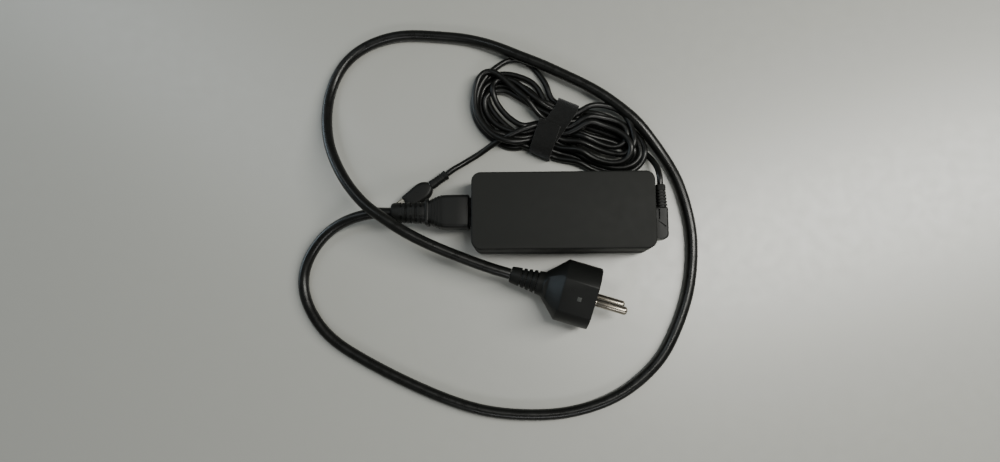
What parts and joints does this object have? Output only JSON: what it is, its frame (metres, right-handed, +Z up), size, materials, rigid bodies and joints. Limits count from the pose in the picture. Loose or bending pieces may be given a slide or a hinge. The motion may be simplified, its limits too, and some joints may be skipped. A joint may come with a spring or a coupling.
{
  "type": "laptop power adapter",
  "caption": "Laptop power adapter: rectangular brick with a detachable mains lead that ends in a round earthed plug, and a captive USB-C lead wound in a strapped hank.",
  "frame": {"origin": "centre of the brick's underside, on the surface that the brick and its leads lie on", "axes": "+X along the brick from its mains inlet to its DC outlet, +Z up out of the brick's large top face"},
  "size_m": [0.2465, 0.2457, 0.0354],
  "materials": {
    "case": "matte, fine spark-eroded texture",
    "label": "smooth satin film, blank",
    "moulding": "satin moulded PVC, fine texture",
    "dark_insulator": "smooth satin",
    "mains_jacket": "satin PVC jacket with soft highlights",
    "dc_jacket": "satin PVC jacket with soft highlights",
    "strap": "woven hook-and-loop tape",
    "nickel": "nickel plate, satin",
    "contact_brass": "bare",
    "aluminium": "mill finish",
    "thermal_pad": "matte",
    "insulating_film": "satin film",
    "circuit_board": "solder resist, satin",
    "ceramic": "satin",
    "blue_epoxy": "dipped coating",
    "film_capacitor": "satin box",
    "ferrite": "sintered, dull",
    "copper_wire": "enamelled",
    "chip_epoxy": "satin",
    "capacitor_sleeve": "shrunk sleeve",
    "winding_tape": "polyester tape"
  },
  "bodies": {
    "adapter": {"top_shell": "case", "bottom_shell": "case", "rating_label": "label", "dc_strain_relief": "moulding", "plug_overmould": "moulding", "usb_c_housing": "moulding", "usb_c_strain_relief": "moulding", "inlet_housing": "dark_insulator", "plug_pin_carrier": "dark_insulator", "usb_c_contact_insert": "dark_insulator", "transformer_bobbin": "dark_insulator", "mains_cord": "mains_jacket", "dc_cord_lead": "dc_jacket", "dc_cord_loop_left": "dc_jacket", "dc_cord_loop_right": "dc_jacket", "dc_cord_tail": "dc_jacket", "dc_cord_hank": "dc_jacket", "cable_tie": "strap", "inlet_pin_line": "nickel", "inlet_pin_neutral": "nickel", "inlet_pin_earth": "nickel", "plug_pin_lower": "nickel", "plug_pin_upper": "nickel", "plug_earth_strip": "nickel", "usb_c_shell": "nickel", "heat_spreader_bottom": "aluminium", "heat_spreader_top": "aluminium", "primary_heatsink": "aluminium", "secondary_heatsink": "aluminium", "thermal_pad": "thermal_pad", "insulation_sheet": "insulating_film", "circuit_board": "circuit_board", "usb_c_paddle_board": "circuit_board", "usb_pd_board": "circuit_board", "fuse": "ceramic", "varistor": "blue_epoxy", "y_capacitor": "blue_epoxy", "x_capacitor": "film_capacitor", "choke_core": "ferrite", "transformer_core_lower": "ferrite", "transformer_core_upper": "ferrite", "output_choke": "ferrite", "choke_winding_line": "copper_wire", "choke_winding_neutral": "copper_wire", "bridge_rectifier": "chip_epoxy", "switching_transistor": "chip_epoxy", "synchronous_rectifier": "chip_epoxy", "optocoupler": "chip_epoxy", "bulk_capacitor": "capacitor_sleeve", "output_capacitor_a": "capacitor_sleeve", "output_capacitor_b": "capacitor_sleeve", "transformer_winding": "winding_tape"},
    "mains_connector": {"mains_connector_overmould": "moulding", "mains_connector_insert": "dark_insulator", "mains_contact_line": "contact_brass", "mains_contact_neutral": "contact_brass", "mains_contact_earth": "contact_brass"}
  },
  "joints": [
    {"name": "connector_slide", "type": "slide", "parent": "adapter", "child": "mains_connector", "axis": [-1, 0, 0], "range_m": [0, 0.0145], "deforming": ["mains_cord"]}
  ]
}
